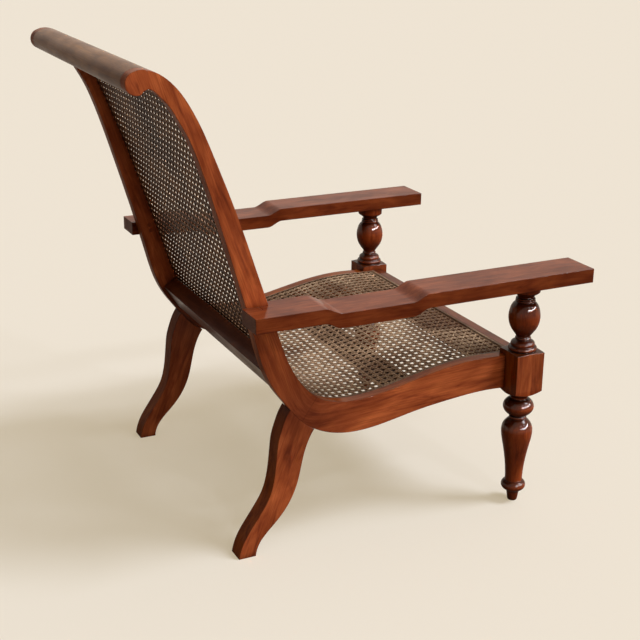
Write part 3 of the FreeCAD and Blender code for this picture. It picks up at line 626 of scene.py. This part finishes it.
class Weave:
    """One mesh of many closed strands, each with a tone of its own."""

    def __init__(self, sheet):
        self.sheet = sheet
        self.points, self.faces, self.tones, self.backs = [], [], [], []

    def strand(self, route, tone):
        """A half-round strand through (across, along, lift) stations, round side to the sitter."""
        placed = [self.sheet.place(*station) for station in route]
        first = len(self.points)
        sides = len(STRAND_SECTION)
        for index, (point, normal) in enumerate(placed):
            ahead = placed[min(index + 1, len(placed) - 1)][0] - placed[max(index - 1, 0)][0]
            sideways = ahead.cross(normal).normalized()
            for width_share, thick_share in STRAND_SECTION:
                offset = sideways * width_share * STRAND_WIDTH + normal * thick_share * STRAND_THICK
                self.points.append(point + offset)
                self.tones.append(tone)
                self.backs.append(float(thick_share < 0))
        for index in range(len(placed) - 1):
            here = first + index * sides
            for side in range(sides):
                beside = (side + 1) % sides
                corners = (side, beside, sides + beside, sides + side)
                self.faces.append(tuple(here + corner for corner in corners))
        self.faces.append(tuple(first + side for side in reversed(range(sides))))
        last = first + (len(placed) - 1) * sides
        self.faces.append(tuple(last + side for side in range(sides)))

    def finish(self, name, material):
        """The mesh as a piece that takes the cane panel's place."""
        mesh = bpy.data.meshes.new(name)
        mesh.from_pydata(self.points, [], self.faces)
        for label, values in (("tone", self.tones), ("reverse", self.backs)):
            mesh.attributes.new(label, "FLOAT", "POINT").data.foreach_set("value", values)
        mesh.polygons.foreach_set("use_smooth", [len(face) == 4 for face in self.faces])
        mesh.materials.append(material)
        piece = bpy.data.objects.new(name, mesh)
        bpy.context.collection.objects.link(piece)
        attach(piece, "root")
        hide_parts("cane_panel")


def weave_cane(material):
    """Six-way cane: pairs of strands across and along, and a diagonal each way between them."""
    sheet = Sheet()
    weave = Weave(sheet)
    chance = random.Random(CANE_SEED)
    half = sheet.half_width - CANE_EDGE
    columns = round(2 * half / CELL_ACROSS)
    rows = round(sheet.length / CELL_ALONG)
    wide, long = 2 * half / columns, sheet.length / rows
    stops = [step / STEPS_PER_CELL - 0.5 for step in range(columns * STEPS_PER_CELL + 1)]

    def station(column, row, lift):
        """A place on the sheet, from its column, its row and its height."""
        across = max(-half, min(half, (column + 0.5) * wide - half))
        return across, (row + 0.5) * long, lift

    for column in range(columns):
        for side in (-1, 1):
            place = column + side * PAIR_HALF / wide
            lift = side * LENGTHWISE_LIFT
            route = [station(place, row / 2 - 0.5, lift) for row in range(2 * rows + 1)]
            weave.strand(route, chance.random())
    for row in range(rows):
        for side in (-1, 1):
            place = row + side * PAIR_HALF / long
            route = [station(column, place, -LATERAL_LIFT * math.sin(2 * math.pi * column))
                     for column in stops]
            weave.strand(route, chance.random())
    for slope in (1, -1):
        lowest = -columns if slope > 0 else 0
        for start in range(lowest, lowest + columns + rows):
            route = []
            for column in stops:
                row = slope * column + start + 0.5
                if -0.5 <= row <= rows - 0.5:
                    lift = -slope * DIAGONAL_LIFT * math.cos(2 * math.pi * column)
                    route.append(station(column, row, lift))
            if len(route) > 1:
                weave.strand(route, chance.random())
    weave.finish("woven_cane", material)


bpy.context.scene.view_settings.view_transform = "Standard"
make_camera()
make_world()
make_sun("key", KEY_STRENGTH, KEY_ANGLE, KEY_AZIMUTH, KEY_ELEVATION)
for azimuth, elevation in SMALL_LAMPS:
    make_sun("small_lamp", SMALL_STRENGTH, SMALL_ANGLE, azimuth, elevation)
make_floor()

# The left side's frame and rear leg take the darker tone, painted shade
for side, tone in SIDE_SHADES:
    frame_wood = wood(f"{side}_frame_wood", None, grey(tone))
    paint(f"{side}_back_stile", frame_wood)
    paint(f"{side}_seat_rail", frame_wood)
    paint(f"{side}_rear_leg", wood(f"{side}_leg_wood", LEG_GRAIN, grey(LEG_TONE * tone)))
    paint(f"{side}_arm", wood(f"{side}_arm_wood", DEPTHWISE, ARM_TINT_AND_SHEEN, ARM_LACQUER, ARM_FACES))
    turned_wood = wood(f"{side}_turned_wood", UPWARD, grey(TURNED_TONE), TURNED_LACQUER,
                       turned=True)
    paint(f"{side}_front_leg", turned_wood)
for node, name, tint, lacquer in (
        ("crest_rail", "crest_wood", CREST_TINT_AND_SHEEN, CREST_LACQUER),
        ("lower_back_rail", "lower_rail_wood", grey(LOWER_RAIL_SHADE), RAIL_LACQUER),
        ("seat_stretcher", "stretcher_wood", grey(STRETCHER_SHADE), RAIL_LACQUER),
        ("front_rail", "front_rail_wood", grey(FRONT_RAIL_TONE), FRONT_LACQUER)):
    paint(node, wood(name, CROSSWISE, tint, lacquer, CROSS_FACES))
cane = cane_material()
weave_cane(cane)
paint("cane_beading", cane)
paint("leg_dowels", plain("beech", BEECH, BEECH_ROUGHNESS))
paint("crest_dowels", plain("beech_pegs", BEECH, BEECH_ROUGHNESS))
paint("arm_screws", plain("lacquered_steel", STEEL, STEEL_ROUGHNESS))
